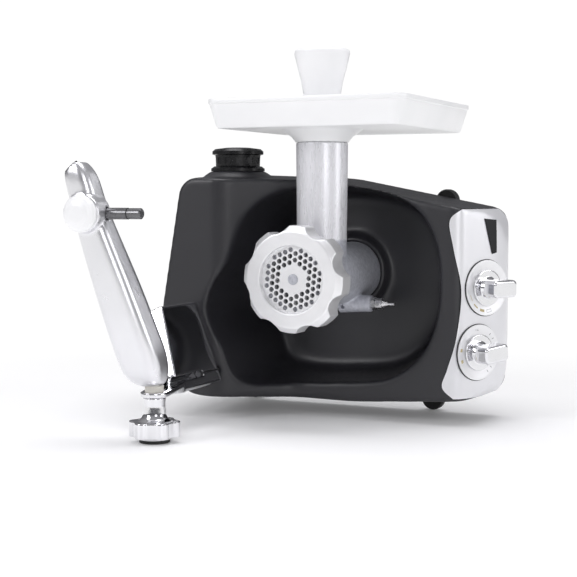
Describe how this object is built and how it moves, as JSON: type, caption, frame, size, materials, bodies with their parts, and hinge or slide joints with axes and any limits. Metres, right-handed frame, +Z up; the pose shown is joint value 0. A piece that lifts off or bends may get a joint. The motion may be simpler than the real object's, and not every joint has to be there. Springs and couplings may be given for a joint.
{
  "type": "electric meat grinder",
  "caption": "Kitchen machine drive unit lying on its side with a cast mincer on its hub, feed tray, pusher, swinging roller arm and control dials.",
  "frame": {"origin": "under the middle of the whole box, on the table", "axes": "+X towards the control panel, +Y towards the underside of the machine (the drive axis runs along Y, the disc faces -Y), +Z up"},
  "size_m": [0.4046, 0.3978, 0.4042],
  "materials": {
    "graphite_paint": "satin",
    "silver_paint": "satin",
    "chrome": "polished",
    "polished_aluminium": "polished",
    "cast_aluminium": "bead blasted",
    "satin_aluminium": "satin",
    "steel": "brushed",
    "dark_steel": "oiled",
    "white_plastic": "semi gloss",
    "black_plastic": "matt",
    "black_rubber": "matt",
    "nylon": "matt",
    "copper_winding": "enamelled",
    "bearing_bronze": "sintered",
    "badge_black": "gloss"
  },
  "bodies": {
    "root": {"housing": "graphite_paint", "base_plate": "black_plastic", "base_screws": "steel", "rubber_feet": "black_rubber", "control_panel": "silver_paint", "badge_plate": "badge_black", "speed_dial_ring": "satin_aluminium", "timer_dial_ring": "satin_aluminium", "speed_control": "black_plastic", "timer_module": "black_plastic", "side_cap_collar": "black_plastic", "motor_stator": "copper_winding", "motor_bearings": "bearing_bronze", "motor_mount": "satin_aluminium", "toothed_belt": "black_rubber", "gearbox_plate": "steel", "spindle_front_bearing": "steel", "spindle_rear_bearing": "bearing_bronze", "power_inlet": "black_plastic", "arm_bracket": "polished_aluminium", "bracket_bolts": "dark_steel", "pivot_washer": "nylon", "mincer_housing": "cast_aluminium", "worm_bush": "bearing_bronze", "hole_disc": "satin_aluminium", "clamp_nut": "steel"},
    "speed_knob": {"speed_knob": "chrome"},
    "timer_knob": {"timer_knob": "chrome"},
    "side_cap": {"side_cap": "black_plastic"},
    "motor_shaft": {"motor_rotor": "steel", "cooling_fan": "black_plastic", "motor_pulley": "steel"},
    "idler": {"large_pulley": "satin_aluminium", "drive_pinion": "steel", "idler_shaft": "steel"},
    "spindle": {"output_gear": "nylon", "drive_spindle": "steel", "worm": "cast_aluminium", "knife": "steel"},
    "arm": {"arm": "polished_aluminium", "arm_end_plug": "black_plastic", "roller_shaft": "dark_steel"},
    "adjuster_knob": {"adjuster_knob": "white_plastic"},
    "lock_knob": {"lock_knob": "chrome", "lock_knob_stud": "steel", "lock_knob_pad": "black_rubber"},
    "ring_nut": {"ring_nut": "satin_aluminium"},
    "clamp_screw": {"clamp_screw": "steel"},
    "tray": {"tray": "white_plastic"},
    "pusher": {"pusher_plunger": "white_plastic", "pusher_handle": "white_plastic"}
  },
  "joints": [
    {"name": "speed_knob_turn", "type": "hinge", "parent": "root", "child": "speed_knob", "pos_m": [0.16869, 0.11457, 0.1475], "axis": [0.8746, -0.4848, 0], "range_deg": [-270, 0]},
    {"name": "timer_knob_turn", "type": "hinge", "parent": "root", "child": "timer_knob", "pos_m": [0.16311, 0.10452, 0.0785], "axis": [0.8746, -0.4848, 0], "range_deg": [-300, 0]},
    {"name": "side_cap_turn", "type": "hinge", "parent": "root", "child": "side_cap", "pos_m": [-0.11531, 0.08555, 0.285], "axis": [0, 0, 1], "range_deg": [0, 90]},
    {"name": "drive_spin", "type": "hinge", "parent": "root", "child": "spindle", "pos_m": [0.00469, 0.04955, 0.16], "axis": [0, 1, 0], "continuous": true},
    {"name": "idler_spin", "type": "hinge", "parent": "root", "child": "idler", "pos_m": [-0.05441, 0.15955, 0.1704], "axis": [0, 1, 0], "continuous": true},
    {"name": "motor_spin", "type": "hinge", "parent": "root", "child": "motor_shaft", "pos_m": [-0.13331, 0.10955, 0.195], "axis": [0, 1, 0], "continuous": true},
    {"name": "arm_swing", "type": "hinge", "parent": "root", "child": "arm", "pos_m": [-0.10061, -0.12845, 0.06], "axis": [0, 0, 1], "range_deg": [0, 88]},
    {"name": "adjuster_knob_turn", "type": "hinge", "parent": "arm", "child": "adjuster_knob", "pos_m": [-0.14581, -0.19045, 0.229], "axis": [0, -1, 0], "range_deg": [0, 180]},
    {"name": "lock_knob_turn", "type": "hinge", "parent": "root", "child": "lock_knob", "pos_m": [-0.10061, -0.12845, 0.02], "axis": [0, 0, 1], "range_deg": [-30, 180]},
    {"name": "ring_nut_turn", "type": "hinge", "parent": "root", "child": "ring_nut", "pos_m": [0.00469, -0.01045, 0.16], "axis": [0, -1, 0], "range_deg": [0, 180]},
    {"name": "clamp_screw_turn", "type": "hinge", "parent": "root", "child": "clamp_screw", "pos_m": [0.04969, 0.09755, 0.1275], "axis": [1, 0, 0], "range_deg": [0, 360]},
    {"name": "tray_lift", "type": "slide", "parent": "root", "child": "tray", "axis": [0, 0, 1], "range_m": [0, 0.03]},
    {"name": "pusher_slide", "type": "slide", "parent": "tray", "child": "pusher", "axis": [0, 0, 1], "range_m": [0, 0.15]}
  ],
  "couplings": [
    {"joint": "idler_spin", "follows": "drive_spin", "ratio": -5},
    {"joint": "motor_spin", "follows": "drive_spin", "ratio": -17.5}
  ]
}
